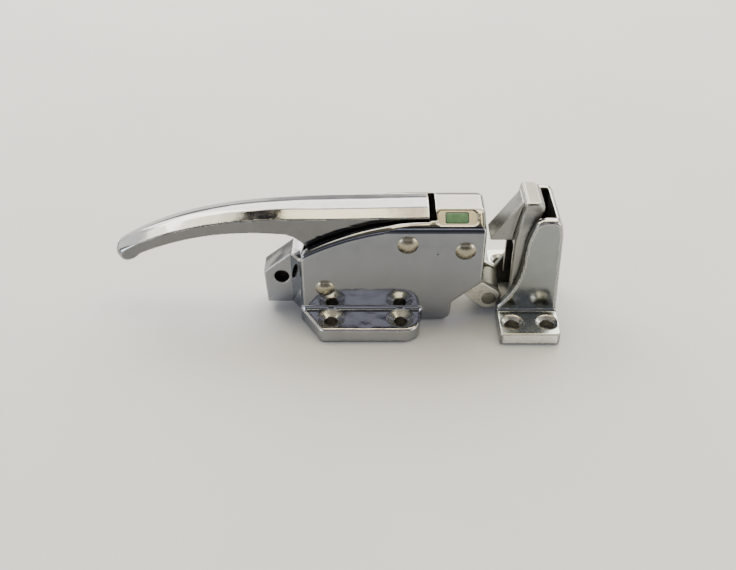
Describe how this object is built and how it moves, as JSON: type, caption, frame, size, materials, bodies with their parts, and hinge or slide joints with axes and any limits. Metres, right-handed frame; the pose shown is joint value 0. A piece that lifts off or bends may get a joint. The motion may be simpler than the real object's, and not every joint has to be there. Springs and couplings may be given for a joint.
{
  "type": "cooler door lock",
  "caption": "Walk-in cooler door lock: a pull-handle roller latch with a curved handle, padlock ear and screw flanges, and a separate strike with a height-adjustable hook.",
  "frame": {"origin": "centre of the latch's four screw holes, on the door face", "axes": "+Z away from the door, +X from the latch towards the strike, +Y across the handle"},
  "size_m": [0.2169, 0.0706, 0.0645],
  "materials": {
    "chrome": "polished chrome plate on zinc casting",
    "rivet": "nickel-plated domed heads",
    "steel": "zinc-plated pressed steel",
    "roller": "turned steel, lightly greased",
    "bronze": "sintered bronze",
    "spring": "oiled spring steel",
    "badge": "plain green insert"
  },
  "bodies": {
    "latch": {"housing": "chrome", "handle_pivot_pin": "rivet", "bolt_pivot_pin": "rivet", "spring_anchor_pin": "rivet", "badge": "badge"},
    "handle": {"handle": "chrome", "handle_bushing": "bronze", "handle_washers": "steel"},
    "bolt": {"bolt_plate_front": "steel", "bolt_plate_rear": "steel", "bolt_bushing": "steel", "bolt_drive_pin": "steel", "roller_pin": "roller"},
    "roller": {"roller": "roller"},
    "spring_rod": {"spring_rod": "steel", "spring": "spring"},
    "trunnion": {"spring_trunnion": "steel", "spring_washer": "steel"},
    "strike": {"strike_body": "chrome"},
    "hook": {"strike_hook": "chrome"},
    "screw": {"adjusting_screw": "steel", "screw_clip": "spring"}
  },
  "joints": [
    {"name": "handle_pull", "type": "hinge", "parent": "latch", "child": "handle", "pos_m": [0.0198, 0, 0.0459], "axis": [0, 1, 0], "range_deg": [0, 16], "stiffness_Nm_per_rad": 1.5, "springref_deg": -17.19, "deforming": ["spring"]},
    {"name": "bolt_swing", "type": "hinge", "parent": "latch", "child": "bolt", "pos_m": [0.0472, 0, 0.0425], "axis": [0, 1, 0], "range_deg": [0, 19.1]},
    {"name": "roller_spin", "type": "hinge", "parent": "bolt", "child": "roller", "pos_m": [0.0611, 0, 0.0095], "axis": [0, 1, 0], "continuous": true},
    {"name": "rod_swing", "type": "hinge", "parent": "latch", "child": "spring_rod", "pos_m": [-0.0198, 0, 0.0203], "axis": [0, 1, 0], "range_deg": [-4.6, 0]},
    {"name": "trunnion_turn", "type": "hinge", "parent": "handle", "child": "trunnion", "pos_m": [0.0158, 0, 0.0219], "axis": [0, 1, 0], "range_deg": [-20.6, 0]},
    {"name": "strike_seat", "type": "slide", "parent": "latch", "child": "strike", "axis": [0, 0, 1], "range_m": [-0.016, 0]},
    {"name": "hook_adjust", "type": "slide", "parent": "strike", "child": "hook", "axis": [0, 0, 1], "range_m": [-0.007, 0.003]},
    {"name": "screw_turn", "type": "hinge", "parent": "strike", "child": "screw", "pos_m": [0.086, 0, 0.02], "axis": [0, 0, 1], "range_deg": [-3200, 1400]}
  ],
  "couplings": [
    {"joint": "bolt_swing", "follows": "handle_pull", "ratio": 1.19},
    {"joint": "rod_swing", "follows": "handle_pull", "ratio": -0.28},
    {"joint": "trunnion_turn", "follows": "handle_pull", "ratio": -1.28},
    {"joint": "screw_turn", "follows": "hook_adjust", "rad_per_m": 7854}
  ]
}
